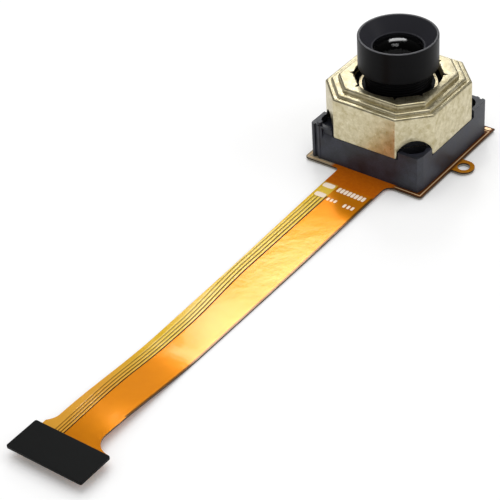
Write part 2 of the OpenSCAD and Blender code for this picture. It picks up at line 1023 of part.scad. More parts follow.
// Section of a lens disc with a curved zone of radius zone_r on each face: rise_top
// and rise_bottom are positive for a bulge and negative for a hollow
module lens_section(z0, z1, zone_r, rise_top, rise_bottom) {
    steps = 12;
    function face(rise, x) =
        let (big_r = dome_radius(zone_r, abs(rise)))
        sign(rise) * (abs(rise) - sag(big_r, x));
    polygon(concat(
        [for (k = [0 : steps]) let (x = zone_r * k / steps) [x, z0 - face(rise_bottom, x)]],
        [[stack_r, z0], [stack_r, z1]],
        [for (k = [steps : -1 : 0]) let (x = zone_r * k / steps) [x, z1 + face(rise_top, x)]]
    ));
}

module front_lens() {
    r = front_lens_d / 2 - slip;
    big_r = dome_radius(r, dome_h);
    steps = 14;
    hollow_r = 2.2;
    hollow = 0.3;
    hollow_big_r = dome_radius(hollow_r, hollow);
    z0 = z_stack - front_lens_t;
    z_edge = z_lip - 0.1;
    color("#2a2f45", 0.7)
        rotate_extrude()
            polygon(concat(
                [for (k = [0 : steps])
                    let (x = hollow_r * k / steps) [x, z0 + hollow - sag(hollow_big_r, x)]],
                [[stack_r, z0], [stack_r, z_stack], [r, z_stack], [r, z_edge]],
                [for (k = [steps - 1 : -1 : 0])
                    let (x = r * k / steps) [x, z_edge + dome_h - sag(big_r, x)]]
            ));
}

module aperture_stop() {
    stop_r = 1.2;
    color("#101012")
        tube(stack_r, stop_r, z_stop, z_stop + stop_t);
}

module second_lens() {
    color("#9fb8c4", 0.6)
        rotate_extrude()
            lens_section(z_second, z_second + second_lens_t, 2.2, -0.12, 0.35);
}

module front_spacer() {
    color("#141416")
        tube(stack_r, spacer_r, z_front_spacer, z_second);
}

module third_lens() {
    color("#9fb8c4", 0.6)
        rotate_extrude()
            lens_section(z_third, z_third + third_lens_t, 2.3, 0.3, -0.25);
}

module rear_spacer() {
    color("#141416")
        tube(stack_r, spacer_r, z_rear_spacer, z_third);
}

module rear_lens() {
    color("#9fb8c4", 0.6)
        rotate_extrude()
            lens_section(z_rear, z_rear + rear_lens_t, 2.4, -0.3, 0.25);
}

module rear_retainer() {
    color("#141416")
        tube(stack_r, spacer_r, z_tail, z_rear);
}

head_stiffener();
fpc();
connector_stiffener();
connector_housing();
connector_contacts();
connector_hold_downs();
image_sensor();
driver_chip();
capacitors();
lens_holder();
ir_cut_filter();
vcm_base();
terminals();
solder_joints();
lower_leaf_springs();
magnet_frame();
magnet_front();
magnet_right();
magnet_back();
magnet_left();
upper_leaf_spring();
vcm_can();
lens_carrier();
coil();
lens_barrel();
front_lens();
aperture_stop();
second_lens();
front_spacer();
third_lens();
rear_spacer();
rear_lens();
rear_retainer();
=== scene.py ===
"""Looks of the autofocus camera module: the camera, the studio, and then one section for
each piece in the order in which the module is put together."""
import json
import math

import bmesh
import bpy
from mathutils import Matrix, Vector


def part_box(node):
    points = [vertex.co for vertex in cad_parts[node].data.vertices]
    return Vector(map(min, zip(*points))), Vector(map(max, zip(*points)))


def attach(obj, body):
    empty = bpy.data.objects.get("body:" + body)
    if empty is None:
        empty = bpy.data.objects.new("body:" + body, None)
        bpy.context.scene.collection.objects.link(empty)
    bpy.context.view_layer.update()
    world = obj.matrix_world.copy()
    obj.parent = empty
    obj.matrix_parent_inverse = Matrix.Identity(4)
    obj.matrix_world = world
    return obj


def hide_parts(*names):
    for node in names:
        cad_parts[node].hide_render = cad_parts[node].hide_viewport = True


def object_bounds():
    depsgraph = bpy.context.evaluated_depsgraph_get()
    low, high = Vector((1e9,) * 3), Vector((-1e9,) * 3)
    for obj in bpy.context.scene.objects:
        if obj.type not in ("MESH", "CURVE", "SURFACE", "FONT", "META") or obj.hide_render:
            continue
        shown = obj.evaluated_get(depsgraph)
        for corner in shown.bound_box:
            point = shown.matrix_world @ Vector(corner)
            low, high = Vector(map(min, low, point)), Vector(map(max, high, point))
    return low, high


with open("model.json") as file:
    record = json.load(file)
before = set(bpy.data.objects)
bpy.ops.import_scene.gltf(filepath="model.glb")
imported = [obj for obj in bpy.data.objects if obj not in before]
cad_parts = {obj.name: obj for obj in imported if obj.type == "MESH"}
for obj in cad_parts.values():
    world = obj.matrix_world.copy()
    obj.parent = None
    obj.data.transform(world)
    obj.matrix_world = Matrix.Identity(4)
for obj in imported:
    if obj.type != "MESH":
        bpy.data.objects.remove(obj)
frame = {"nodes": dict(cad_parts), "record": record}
cad_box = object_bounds()

# ---------------------------------------------------------------------------
# Camera: a long lens that looks down on the module from its front right, with the tail
# coming towards it at the lower left. Its place is in millimetres.

MM = 0.001
CAMERA_AT = (99.55, -154.29, 124.15)
AZIMUTH, ELEVATION, ROLL = 38.75, 37.12, -4.06

az, el, roll = (math.radians(a) for a in (AZIMUTH, ELEVATION, ROLL))
ahead = Vector((-math.sin(az) * math.cos(el), math.cos(az) * math.cos(el), -math.sin(el)))
level = Vector((math.cos(az), math.sin(az), 0))
upward = level.cross(ahead)
across = level * math.cos(roll) + upward * math.sin(roll)
upright = upward * math.cos(roll) - level * math.sin(roll)

camera_data = bpy.data.cameras.new("camera")
camera_data.sensor_width = 36
camera_data.lens = 130.81
camera_data.clip_start = 0.01
camera_data.clip_end = 50
camera = bpy.data.objects.new("camera", camera_data)
bpy.context.collection.objects.link(camera)
turn = Matrix((across, upright, -ahead)).transposed().to_4x4()
camera.matrix_world = Matrix.Translation(Vector(CAMERA_AT) * MM) @ turn
bpy.context.scene.camera = camera
bpy.context.scene.view_settings.view_transform = "Standard"

# ---------------------------------------------------------------------------
# Studio: a white sweep under the module and an even white room, with two soft boxes behind
# it, which the flat of the tail and the front lens mirror, a large one above and a weak one
# at its right.


def linear(hex_text):
    """An sRGB hex colour as linear RGBA."""
    parts = [int(hex_text[i:i + 2], 16) / 255 for i in (1, 3, 5)]
    return (*(p / 12.92 if p <= 0.04045 else ((p + 0.055) / 1.055) ** 2.4 for p in parts), 1.0)


def add(tree, kind, inputs=None, **settings):
    """Adds a shader node. An input is a value, or another node or socket to link from."""
    made = tree.nodes.new("ShaderNode" + kind)
    for name, value in settings.items():
        setattr(made, name, value)
    for name, value in (inputs or {}).items():
        if isinstance(value, bpy.types.Node):
            value = value.outputs[0]
        if isinstance(value, bpy.types.NodeSocket):
            tree.links.new(value, made.inputs[name])
        else:
            made.inputs[name].default_value = value
    return made


ROOM_LIGHT = 0.5
ROOM_IN_GLOSS = 0.18
LIT_POINT = (0, -10, 6)
SWEEP_HALF = 3
SWEEP_GAP = 0.02
CARD_GLOW = 0.1

room = bpy.data.worlds.new("white_room")
room.use_nodes = True
bpy.context.scene.world = room
tree = room.node_tree
tree.nodes.clear()
path = add(tree, "LightPath")
polished = add(tree, "Math", {0: path.outputs["Is Glossy Ray"],
                              1: path.outputs["Is Transmission Ray"]}, operation="MAXIMUM")
lit = add(tree, "MixRGB", {"Fac": polished,
                           "Color1": (ROOM_LIGHT, ROOM_LIGHT, ROOM_LIGHT, 1),
                           "Color2": (ROOM_IN_GLOSS, ROOM_IN_GLOSS, ROOM_IN_GLOSS, 1)})
shade = add(tree, "MixRGB", {"Fac": path.outputs["Is Camera Ray"], "Color1": lit,
                             "Color2": (1, 1, 1, 1)})
add(tree, "OutputWorld", {"Surface": add(tree, "Background", {"Color": shade, "Strength": 1.0})})


def soft_box(name, bearing, rise, distance, width, height, radiance):
    """A soft rectangular lamp that faces the module. Angles are in degrees, lengths in metres."""
    data = bpy.data.lights.new(name, "AREA")
    data.shape = "RECTANGLE"
    data.size = width
    data.size_y = height
    data.energy = radiance * math.pi * width * height
    lamp = bpy.data.objects.new(name, data)
    bpy.context.collection.objects.link(lamp)
    turned, raised = math.radians(bearing), math.radians(rise)
    direction = Vector((-math.sin(turned) * math.cos(raised), math.cos(turned) * math.cos(raised),
                        math.sin(raised)))
    lamp.location = Vector(LIT_POINT) * MM + direction * distance
    lamp.rotation_mode = "QUATERNION"
    lamp.rotation_quaternion = direction.to_track_quat("Z", "Y")


soft_box("tail_box", 37.5, 43.5, 1.2, 0.17, 0.20, 9.6)
soft_box("lens_box", 33.0, 20.5, 1.2, 0.36, 0.46, 2.6)
soft_box("top_box", 30.0, 82.0, 1.2, 1.2, 1.1, 1.6)
soft_box("right_box", -60.0, 35.0, 1.0, 0.5, 0.5, 1.2)

sweep_mesh = bpy.data.meshes.new("white_sweep")
sweep_mesh.from_pydata([(i * SWEEP_HALF, j * SWEEP_HALF, 0) for i, j in ((-1, -1), (1, -1), (1, 1), (-1, 1))],
                       [], [(0, 1, 2, 3)])
sweep = bpy.data.objects.new("white_sweep", sweep_mesh)
bpy.context.collection.objects.link(sweep)
sweep.location.z = cad_box[0].z - SWEEP_GAP * MM


def surface_of(name, **sockets):
    """A new material with a Principled surface: gives the material, its tree and the surface."""
    made = bpy.data.materials.new(name)
    made.use_nodes = True
    tree = made.node_tree
    tree.nodes.clear()
    surface = add(tree, "BsdfPrincipled", {k.replace("_", " "): v for k, v in sockets.items()})
    add(tree, "OutputMaterial", {"Surface": surface})
    return made, tree, surface


# White card: lit like paper, and a little brighter to the camera so that the floor stays white
card, tree, surface = surface_of("white_card", Base_Color=linear("#fbfbfb"), Roughness=0.9,
                                 Specular_IOR_Level=0.0, Emission_Color=(1, 1, 1, 1))
path = add(tree, "LightPath")
glow = add(tree, "Math", {0: path.outputs["Is Camera Ray"], 1: CARD_GLOW}, operation="MULTIPLY")
tree.links.new(glow.outputs[0], surface.inputs["Emission Strength"])
sweep_mesh.materials.append(card)

# ---------------------------------------------------------------------------
# Head stiffener: a rolled stainless steel sheet, punched to the pad's outline and stuck
# under the flex circuit. The long grain of the rolling runs across it.


def finish_with(node_name, material):
    """Gives a CAD node its one finish."""
    mesh = frame["nodes"][node_name].data
    mesh.materials.clear()
    mesh.materials.append(material)
    for polygon in mesh.polygons:
        polygon.material_index = 0


def in_mm(tree, stretch=(1, 1, 1)):
    """Where a point of the piece lies, in millimetres from the module's origin."""
    return add(tree, "Mapping", {"Vector": add(tree, "TexCoord").outputs["Object"],
                                 "Scale": tuple(1000 * s for s in stretch)})


def metal(name, bright, dark, roughness, spread, grain_per_mm, relief, stretch=(1, 1, 1)):
    """A plated or rolled metal: two close shades, uneven gloss and a shallow relief in one grain."""
    made, tree, surface = surface_of(name, Metallic=1.0)
    grain = add(tree, "TexNoise", {"Vector": in_mm(tree, stretch), "Scale": grain_per_mm, "Detail": 4.0,
                                   "Roughness": 0.6})
    shade = add(tree, "MixRGB", {"Fac": grain, "Color1": linear(dark), "Color2": linear(bright)})
    tree.links.new(shade.outputs[0], surface.inputs["Base Color"])
    gloss = add(tree, "MapRange", {"Value": grain, "From Min": 0.3, "From Max": 0.7,
                                   "To Min": roughness - spread, "To Max": roughness + spread})
    tree.links.new(gloss.outputs[0], surface.inputs["Roughness"])
    bump = add(tree, "Bump", {"Height": grain, "Strength": relief, "Distance": 0.01 * MM})
    tree.links.new(bump.outputs[0], surface.inputs["Normal"])
    return made


# Rolled stainless steel: satin, with fine streaks 0.1 mm apart that catch the light in lines
finish_with("head_stiffener", metal("rolled_stainless_steel", "#c4c0b6", "#9e998e", 0.34, 0.08, 2.0, 0.5,
                                    (0.3, 5, 1)))

# ---------------------------------------------------------------------------
# Flex circuit: polyimide film over a wide copper pour, with four etched gaps and the thin
# tracks between them along the left, and a glossy cover film over all of it. Its cut edge
# is dark, and the margin round the head has no copper, with a painted highlight line near its edge.

GAP_START, GAP_STEP_1, GAP_STEP_2 = -1.27, 0.65, 0.5
PITCH_AT_HEAD, PITCH_AT_PLUG = 0.46, 0.36
GAP_HALF = 0.085
MARGIN_FROM = -8.3
ROOT_ENDS, MARKS_END = -11.3, -13.6
FIRST_LEAN, SECOND_LEAN = (-29.0, -41.0), (-50.0, -62.0)
PITCH_NARROWS = (-29.0, -60.0)
TRACKS_REDDEN = (-44.0, -54.0)
BAND_ENDS = -56.5
TAIL_HALF = 4.6
TAIL_RIGHT = 3.6
EAR_FROM = 8.15
MARGIN_LINE = 7.9
HEAD_FRONT = -7.0
SILVERY_FROM, SILVERY_FULL = -2.0, -4.0

# Polyimide over copper: the copper glows amber through the film, and the cover film's thin
# gloss puts a clear highlight on the flat of the tail
flex, tree, surface = surface_of("polyimide_film_over_copper", Roughness=0.17, Specular_IOR_Level=0.0,
                                 Coat_Roughness=0.09, Coat_IOR=1.4)
place = in_mm(tree)
parts = add(tree, "SeparateXYZ", {"Vector": place})
x, y = parts.outputs["X"], parts.outputs["Y"]
facing = add(tree, "SeparateXYZ", {"Vector": add(tree, "NewGeometry").outputs["Normal"]}).outputs["Z"]

# The right-hand gap lies straight at first, then leans in two steps towards the plug
first = add(tree, "MapRange", {"Value": y, "From Min": FIRST_LEAN[0], "From Max": FIRST_LEAN[1],
                               "To Min": GAP_START, "To Max": GAP_START + GAP_STEP_1},
            interpolation_type="SMOOTHSTEP")
second = add(tree, "MapRange", {"Value": y, "From Min": SECOND_LEAN[0], "From Max": SECOND_LEAN[1],
                                "To Max": GAP_STEP_2}, interpolation_type="SMOOTHSTEP")
gap_x = add(tree, "Math", {0: first, 1: second}, operation="ADD")
off = add(tree, "Math", {0: x, 1: gap_x}, operation="SUBTRACT")
pitch = add(tree, "MapRange", {"Value": y, "From Min": PITCH_NARROWS[0], "From Max": PITCH_NARROWS[1],
                               "To Min": PITCH_AT_HEAD, "To Max": PITCH_AT_PLUG})
pitches = add(tree, "Math", {0: off, 1: pitch}, operation="DIVIDE")
near = add(tree, "Math", {0: add(tree, "Math", {0: pitches, 1: 0.5}, operation="ADD")}, operation="FRACT")
from_gap = add(tree, "Math", {0: add(tree, "Math", {0: near, 1: 0.5}, operation="SUBTRACT")},
               operation="ABSOLUTE")
in_gap = add(tree, "MapRange", {"Value": from_gap, "From Min": GAP_HALF / PITCH_AT_HEAD * 1.5,
                                "From Max": GAP_HALF / PITCH_AT_HEAD * 0.7})
left_of_pour = add(tree, "Math", {0: pitches, 1: 0.5}, operation="LESS_THAN")
in_group = add(tree, "Math", {0: pitches, 1: -3.5}, operation="GREATER_THAN")
depth = add(tree, "MapRange", {"Value": pitches, "From Min": -3.0, "From Max": 0.0, "To Min": 0.6,
                               "To Max": 1.0})
gap = add(tree, "Math", {0: in_gap, 1: left_of_pour}, operation="MULTIPLY")
gap = add(tree, "Math", {0: gap, 1: in_group}, operation="MULTIPLY")
gap = add(tree, "Math", {0: gap, 1: depth}, operation="MULTIPLY")
at_root = add(tree, "MapRange", {"Value": y, "From Min": ROOT_ENDS - 0.25, "From Max": ROOT_ENDS + 0.25})
below_marks = add(tree, "Math", {0: y, 1: MARKS_END}, operation="LESS_THAN")
gap = add(tree, "Math", {0: gap, 1: below_marks}, operation="MULTIPLY")
beside = add(tree, "Math", {0: pitches, 1: 0.0}, operation="LESS_THAN")

# Colours: amber over the pour, paler over the tracks, near-black in the gaps, and redder at the root
# and along the right edge, where the root is partly painted shade and the right edge partly painted shadow
cloud = add(tree, "TexNoise", {"Vector": place, "Scale": 0.6, "Detail": 3.0, "Roughness": 0.55})
pour = add(tree, "MixRGB", {"Fac": cloud, "Color1": linear("#d98000"), "Color2": linear("#e58a00")})
track = add(tree, "MixRGB", {"Fac": in_group, "Color1": linear("#d8ae24"), "Color2": linear("#dfbb42")})
towards_plug = add(tree, "MapRange", {"Value": y, "From Min": TRACKS_REDDEN[0],
                                      "From Max": TRACKS_REDDEN[1]})
track = add(tree, "MixRGB", {"Fac": towards_plug, "Color1": track, "Color2": linear("#dfa137")})
shade = add(tree, "MixRGB", {"Fac": beside, "Color1": pour, "Color2": track})
shade = add(tree, "MixRGB", {"Fac": gap, "Color1": shade, "Color2": linear("#2a1802")})
# Partly painted shadow: a dark strip along the right edge, the film's own border and a painted shadow of its
# cut edge
edge_border_and_shadow = add(tree, "MapRange", {"Value": x, "From Min": TAIL_RIGHT - 0.3, "From Max": TAIL_RIGHT - 0.15})
edge_border_and_shadow = add(tree, "Math", {0: edge_border_and_shadow, 1: add(tree, "Math", {0: y, 1: BAND_ENDS}, operation="GREATER_THAN")},
           operation="MULTIPLY")
shade = add(tree, "MixRGB", {"Fac": edge_border_and_shadow, "Color1": shade, "Color2": linear("#6a4206")})
streak = add(tree, "TexNoise", {"Vector": place, "Scale": 2.2, "Detail": 3.0, "Roughness": 0.6})
# Partly painted shade: the root's own brown cover, painted darker as the head's shade and the dark base's
# reflection on it
root = add(tree, "MixRGB", {"Fac": streak, "Color1": linear("#a94c06"), "Color2": linear("#cc6f0c")})
shade = add(tree, "MixRGB", {"Fac": at_root, "Color1": shade, "Color2": root})

# The margin round the head: brown film with a painted highlight line near its edge, silvery
# beside the tail's root, and amber on the ear
margin = add(tree, "Math", {0: y, 1: MARGIN_FROM}, operation="GREATER_THAN")
far = add(tree, "Math", {0: add(tree, "Math", {0: x}, operation="ABSOLUTE"),
                         1: add(tree, "Math", {0: y}, operation="ABSOLUTE")}, operation="MAXIMUM")
from_line = add(tree, "Math", {0: add(tree, "Math", {0: far, 1: MARGIN_LINE}, operation="SUBTRACT")},
                operation="ABSOLUTE")
# Painted highlight: a light line near the margin's outer edge
painted_highlight_line = add(tree, "MapRange", {"Value": from_line, "From Min": 0.1, "From Max": 0.04})
clear_of_tail = add(tree, "MapRange", {"Value": add(tree, "Math", {0: x}, operation="ABSOLUTE"),
                                       "From Min": TAIL_HALF - 0.5, "From Max": TAIL_HALF})
in_front = add(tree, "Math", {0: y, 1: HEAD_FRONT}, operation="LESS_THAN")
under_tail = add(tree, "Math", {0: 1.0, 1: clear_of_tail}, operation="SUBTRACT")
hidden = add(tree, "Math", {0: in_front, 1: under_tail}, operation="MULTIPLY")
painted_highlight_line = add(tree, "Math", {0: painted_highlight_line, 1: hidden}, operation="SUBTRACT", use_clamp=True)
silvery = add(tree, "MapRange", {"Value": x, "From Min": SILVERY_FROM, "From Max": SILVERY_FULL})
film = add(tree, "MixRGB", {"Fac": silvery, "Color1": linear("#5a2f0a"), "Color2": linear("#a4977f")})
edging = add(tree, "MixRGB", {"Fac": painted_highlight_line, "Color1": film, "Color2": linear("#dcb88c")})
edging = add(tree, "MixRGB", {"Fac": hidden, "Color1": edging, "Color2": root})
on_ear = add(tree, "MapRange", {"Value": x, "From Min": EAR_FROM, "From Max": EAR_FROM + 0.3})
amber = add(tree, "MixRGB", {"Fac": streak, "Color1": linear("#8f5208"), "Color2": linear("#cf8a1e")})
edging = add(tree, "MixRGB", {"Fac": on_ear, "Color1": edging, "Color2": amber})
shade = add(tree, "MixRGB", {"Fac": margin, "Color1": shade, "Color2": edging})
cut_edge = add(tree, "Math", {0: add(tree, "Math", {0: facing}, operation="ABSOLUTE"), 1: 0.4},
               operation="LESS_THAN")
shade = add(tree, "MixRGB", {"Fac": cut_edge, "Color1": shade, "Color2": linear("#33220c")})
tree.links.new(shade.outputs[0], surface.inputs["Base Color"])
cover = add(tree, "MapRange", {"Value": gap, "To Min": 0.8, "To Max": 0.1})
tree.links.new(cover.outputs[0], surface.inputs["Coat Weight"])
shine = add(tree, "MapRange", {"Value": beside, "To Min": 0.45, "To Max": 0.12})
shine = add(tree, "Math", {0: shine, 1: add(tree, "Math", {0: 1.0, 1: at_root}, operation="SUBTRACT")},
            operation="MULTIPLY")
tree.links.new(shine.outputs[0], surface.inputs["Metallic"])

# Relief: the film sinks a little into each gap and lies in slow waves over the pour
sunk = add(tree, "Math", {0: cloud, 1: add(tree, "Math", {0: gap, 1: -0.5}, operation="MULTIPLY")},
           operation="ADD")
bump = add(tree, "Bump", {"Height": sunk, "Strength": 0.35, "Distance": 0.02 * MM})
tree.links.new(bump.outputs[0], surface.inputs["Normal"])
tree.links.new(bump.outputs[0], surface.inputs["Coat Normal"])
finish_with("fpc", flex)


def new_piece(name, work, material, body, smooth_below):
    """A finished piece from a bmesh in millimetres, riding on a CAD body."""
    bmesh.ops.scale(work, vec=(MM, MM, MM), verts=work.verts)
    bmesh.ops.recalc_face_normals(work, faces=work.faces)
    mesh = bpy.data.meshes.new(name)
    work.to_mesh(mesh)
    work.free()
    mesh.materials.append(material)
    for polygon in mesh.polygons:
        polygon.use_smooth = True
    mesh.set_sharp_from_angle(angle=math.radians(smooth_below))
    piece = bpy.data.objects.new(name, mesh)
    bpy.context.collection.objects.link(piece)
    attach(piece, body)
    return piece


def dab(work, x, y, z, w, d, h, steps=12):
    """A flat rounded dab with a domed top, w by d across and h high, added to a bmesh."""
    rings = []
    for scale, rise in ((1.0, 0.0), (0.97, 0.6), (0.82, 0.92), (0.45, 1.0)):
        ring = []
        for k in range(steps):
            a = 2 * math.pi * k / steps
            px = math.copysign(abs(math.cos(a)) ** 0.5, math.cos(a)) * w / 2 * scale
            py = math.copysign(abs(math.sin(a)) ** 0.5, math.sin(a)) * d / 2 * scale
            ring.append(work.verts.new((x + px, y + py, z + rise * h)))
        rings.append(ring)
    for low, high in zip(rings, rings[1:]):
        for k in range(steps):
            work.faces.new((low[k], low[(k + 1) % steps], high[(k + 1) % steps], high[k]))
    work.faces.new(rings[-1])
    work.faces.new(list(reversed(rings[0])))


# Printed marks: plain cream ink dabs in two rows across the root of the tail. A row gives
# how many, the first one's place, the step to the next, where the tail's height is read,
# and the size of a dab.
MARK_ROWS = (
    (8, -0.75, -11.84, 0.5, -0.02, -11.9, 0.42, 0.9),
    (1, -2.25, -11.75, 0.0, 0.0, -11.7, 1.6, 0.9),
    (1, -2.15, -13.7, 0.0, 0.0, -13.7, 1.5, 0.85),
    (3, -0.85, -14.0, 0.5, 0.0, -14.0, 0.34, 0.6),
    (3, 1.55, -14.15, 0.55, 0.0, -14.1, 0.36, 0.7),
)
INK_H = 0.02
INK_SUNK = 0.006
DROP_START, DROP_LEN, DROP = -9.2, 24.0, 0.25
FILM_T = 0.2


def tail_top(y):
    """Height at which ink lies on the tail where it comes down from the pad."""
    part = min(max((DROP_START - y) / DROP_LEN, 0.0), 1.0)
    return DROP * (1 + math.cos(math.pi * part)) / 2 + FILM_T - INK_SUNK


# Screen-printed ink: a chalky cream that stays light from every side
ink, tree, surface = surface_of("screen_printed_ink", Roughness=0.55, Specular_IOR_Level=0.3)
grain = add(tree, "TexNoise", {"Vector": in_mm(tree), "Scale": 6.0, "Detail": 3.0})
shade = add(tree, "MixRGB", {"Fac": grain, "Color1": linear("#f2dcc4"), "Color2": linear("#fff2e2")})
tree.links.new(shade.outputs[0], surface.inputs["Base Color"])
bump = add(tree, "Bump", {"Height": grain, "Strength": 0.4, "Distance": 0.01 * MM})
tree.links.new(bump.outputs[0], surface.inputs["Normal"])
work = bmesh.new()
for count, left, front, step_x, step_y, height_at, width, depth in MARK_ROWS:
    for k in range(count):
        dab(work, left + step_x * k, front + step_y * k, tail_top(height_at), width, depth, INK_H)
new_piece("ink_marks", work, ink, "housing", 40)

# ---------------------------------------------------------------------------
# Ground pad: a gold-plated copper pad left bare on the small tab at the head's far corner.

PAD_X, PAD_INSET, PAD_Z = 7.5, 0.42, 0.445
PAD_W, PAD_D, PAD_H = 0.95, 0.5, 0.03

# Gold over copper: a warm satin spot, lighter than the film round it
pad_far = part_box("fpc")[1] / MM
gilt = metal("gold_plated_copper", "#f0cda6", "#dfb58a", 0.34, 0.05, 6.0, 0.1)
work = bmesh.new()
dab(work, PAD_X, pad_far.y - PAD_INSET, PAD_Z, PAD_W, PAD_D, PAD_H, steps=16)
new_piece("ground_pad", work, gilt, "housing", 40)

# ---------------------------------------------------------------------------
# Connector stiffener: black glass-epoxy laminate stuck on top of the tail's end, with the
# weave just showing through its matt face.

# Glass-epoxy laminate: near-black and matt, with a weave that only shows close up
laminate, tree, surface = surface_of("black_glass_epoxy_laminate", Roughness=0.5, Specular_IOR_Level=0.1)
place = in_mm(tree)
weave_x = add(tree, "TexWave", {"Vector": place, "Scale": 1.6, "Distortion": 1.2, "Detail": 1.0},
              bands_direction="X")
weave_y = add(tree, "TexWave", {"Vector": place, "Scale": 1.6, "Distortion": 1.2, "Detail": 1.0},
              bands_direction="Y")
weave = add(tree, "Math", {0: weave_x, 1: weave_y}, operation="MULTIPLY")
cloud = add(tree, "TexNoise", {"Vector": place, "Scale": 0.8, "Detail": 5.0, "Roughness": 0.7})
tint = add(tree, "MixRGB", {"Fac": cloud, "Color1": linear("#050606"), "Color2": linear("#0b0d0c")})
shade = add(tree, "MixRGB", {"Fac": weave, "Color1": tint, "Color2": linear("#0e1011")})
tree.links.new(shade.outputs[0], surface.inputs["Base Color"])
gloss = add(tree, "MapRange", {"Value": cloud, "To Min": 0.35, "To Max": 0.55})
tree.links.new(gloss.outputs[0], surface.inputs["Roughness"])
bump = add(tree, "Bump", {"Height": weave, "Strength": 0.15, "Distance": 0.01 * MM})
tree.links.new(bump.outputs[0], surface.inputs["Normal"])


def riding_body(node_name):
    """The body that a CAD node moves with."""
    return next(b for b, nodes in frame["record"]["behaviour"]["bodies"].items() if node_name in nodes)


def broken_edges(node_name, piece_name, material, width, segments, sharp_above=28):
    """The CAD node's own form with its sharp edges broken by width millimetres, in its place."""
    work = bmesh.new()
    work.from_mesh(frame["nodes"][node_name].data)
    bmesh.ops.remove_doubles(work, verts=work.verts, dist=1e-7)
    bmesh.ops.dissolve_limit(work, angle_limit=math.radians(1.0), verts=work.verts, edges=work.edges)
    mesh = bpy.data.meshes.new(piece_name)
    work.to_mesh(mesh)
    work.free()
    mesh.materials.clear()
    mesh.materials.append(material)
    for polygon in mesh.polygons:
        polygon.material_index = 0
        polygon.use_smooth = True
    mesh.set_sharp_from_angle(angle=math.radians(sharp_above))
    piece = bpy.data.objects.new(piece_name, mesh)
    bpy.context.collection.objects.link(piece)
    edge = piece.modifiers.new("broken_edges", "BEVEL")
    edge.width = width * MM
    edge.segments = segments
    edge.limit_method = "ANGLE"
    edge.angle_limit = math.radians(sharp_above)
    edge.harden_normals = True
    edge.use_clamp_overlap = True
    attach(piece, riding_body(node_name))
    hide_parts(node_name)


broken_edges("connector_stiffener", "plug_stiffener", laminate, 0.04, 2)

# ---------------------------------------------------------------------------
# Plug: a glass-filled liquid-crystal polymer body moulded round two rows of gilt contacts,
# with a gilt hold-down at each end. Flow lines run along it.


def moulded(name, colour, second, roughness, grain_per_mm, relief, level=0.5, stretch=(1, 1, 1)):
    """A moulded plastic: spark-eroded grain in its relief, gloss and shade."""
    made, tree, surface = surface_of(name, Specular_IOR_Level=level)
    place = in_mm(tree, stretch)
    grain = add(tree, "TexNoise", {"Vector": place, "Scale": grain_per_mm, "Detail": 3.0, "Roughness": 0.65})
    cloud = add(tree, "TexNoise", {"Vector": place, "Scale": grain_per_mm / 12, "Detail": 2.0})
    both = add(tree, "Math", {0: grain, 1: cloud}, operation="MULTIPLY")
    shade = add(tree, "MixRGB", {"Fac": add(tree, "MapRange", {"Value": both, "From Min": 0.12,
                                                               "From Max": 0.4}),
                                 "Color1": linear(colour), "Color2": linear(second)})
    tree.links.new(shade.outputs[0], surface.inputs["Base Color"])
    gloss = add(tree, "MapRange", {"Value": cloud, "From Min": 0.3, "From Max": 0.7,
                                   "To Min": roughness - 0.06, "To Max": roughness + 0.06})
    tree.links.new(gloss.outputs[0], surface.inputs["Roughness"])
    bump = add(tree, "Bump", {"Height": grain, "Strength": relief, "Distance": 0.02 * MM})
    tree.links.new(bump.outputs[0], surface.inputs["Normal"])
    return made


# Liquid-crystal polymer: dark grey satin, streaked along the way it flowed
finish_with("connector_housing", moulded("moulded_liquid_crystal_polymer", "#19191b", "#29292c", 0.4, 12.0,
                                         0.3, 0.5, (0.25, 1, 1)))
# Gold flash: a thin bright yellow plating with soft scratches
gold = metal("gold_flash_over_nickel", "#e2bd68", "#c79c45", 0.24, 0.06, 8.0, 0.2)
finish_with("connector_contacts", gold)
finish_with("connector_hold_downs", gold)

# ---------------------------------------------------------------------------
# Parts on the sensor board, sealed under the base: a bare silicon die, a moulded driver
# chip and eight ceramic capacitors with tinned ends.

# Polished silicon: a dark violet mirror with a faint grid of cells
silicon, tree, surface = surface_of("polished_silicon_die", Roughness=0.12, Specular_IOR_Level=0.8)
place = in_mm(tree)
cells = add(tree, "TexBrick", {"Vector": place, "Color1": linear("#3f3655"), "Color2": linear("#37405c"),
                               "Mortar": linear("#2a2538"), "Scale": 8.0, "Mortar Size": 0.02,
                               "Brick Width": 0.5, "Row Height": 0.5}, offset=0.0)
tree.links.new(cells.outputs[0], surface.inputs["Base Color"])
finish_with("image_sensor", silicon)

# Mould compound: flat dark grey, like fine slate
finish_with("driver_chip", moulded("chip_mould_compound", "#222226", "#34343a", 0.58, 16.0, 0.5, 0.4))

# Ceramic: a brown speckled body between two dull tinned ends
ceramic, tree, surface = surface_of("barium_titanate_ceramic", Roughness=0.5)
place = in_mm(tree)
parts = add(tree, "SeparateXYZ", {"Vector": place})
along = add(tree, "Math", {0: parts.outputs["X"], 1: 0.8, 2: -0.8}, operation="WRAP")
end = add(tree, "Math", {0: add(tree, "Math", {0: along}, operation="ABSOLUTE"), 1: 0.28},
          operation="GREATER_THAN")
speck = add(tree, "TexNoise", {"Vector": place, "Scale": 10.0, "Detail": 2.0})
body = add(tree, "MixRGB", {"Fac": speck, "Color1": linear("#7d5f45"), "Color2": linear("#97795a")})
shade = add(tree, "MixRGB", {"Fac": end, "Color1": body, "Color2": linear("#c9c8c2")})
tree.links.new(shade.outputs[0], surface.inputs["Base Color"])
tree.links.new(end.outputs[0], surface.inputs["Metallic"])
finish_with("capacitors", ceramic)

# ---------------------------------------------------------------------------
# Base: the moulded lens holder, a square box of glass-filled plastic with a raised post at
# each corner, glued over the sensor. Its grain shows as a faint blue-grey bloom.

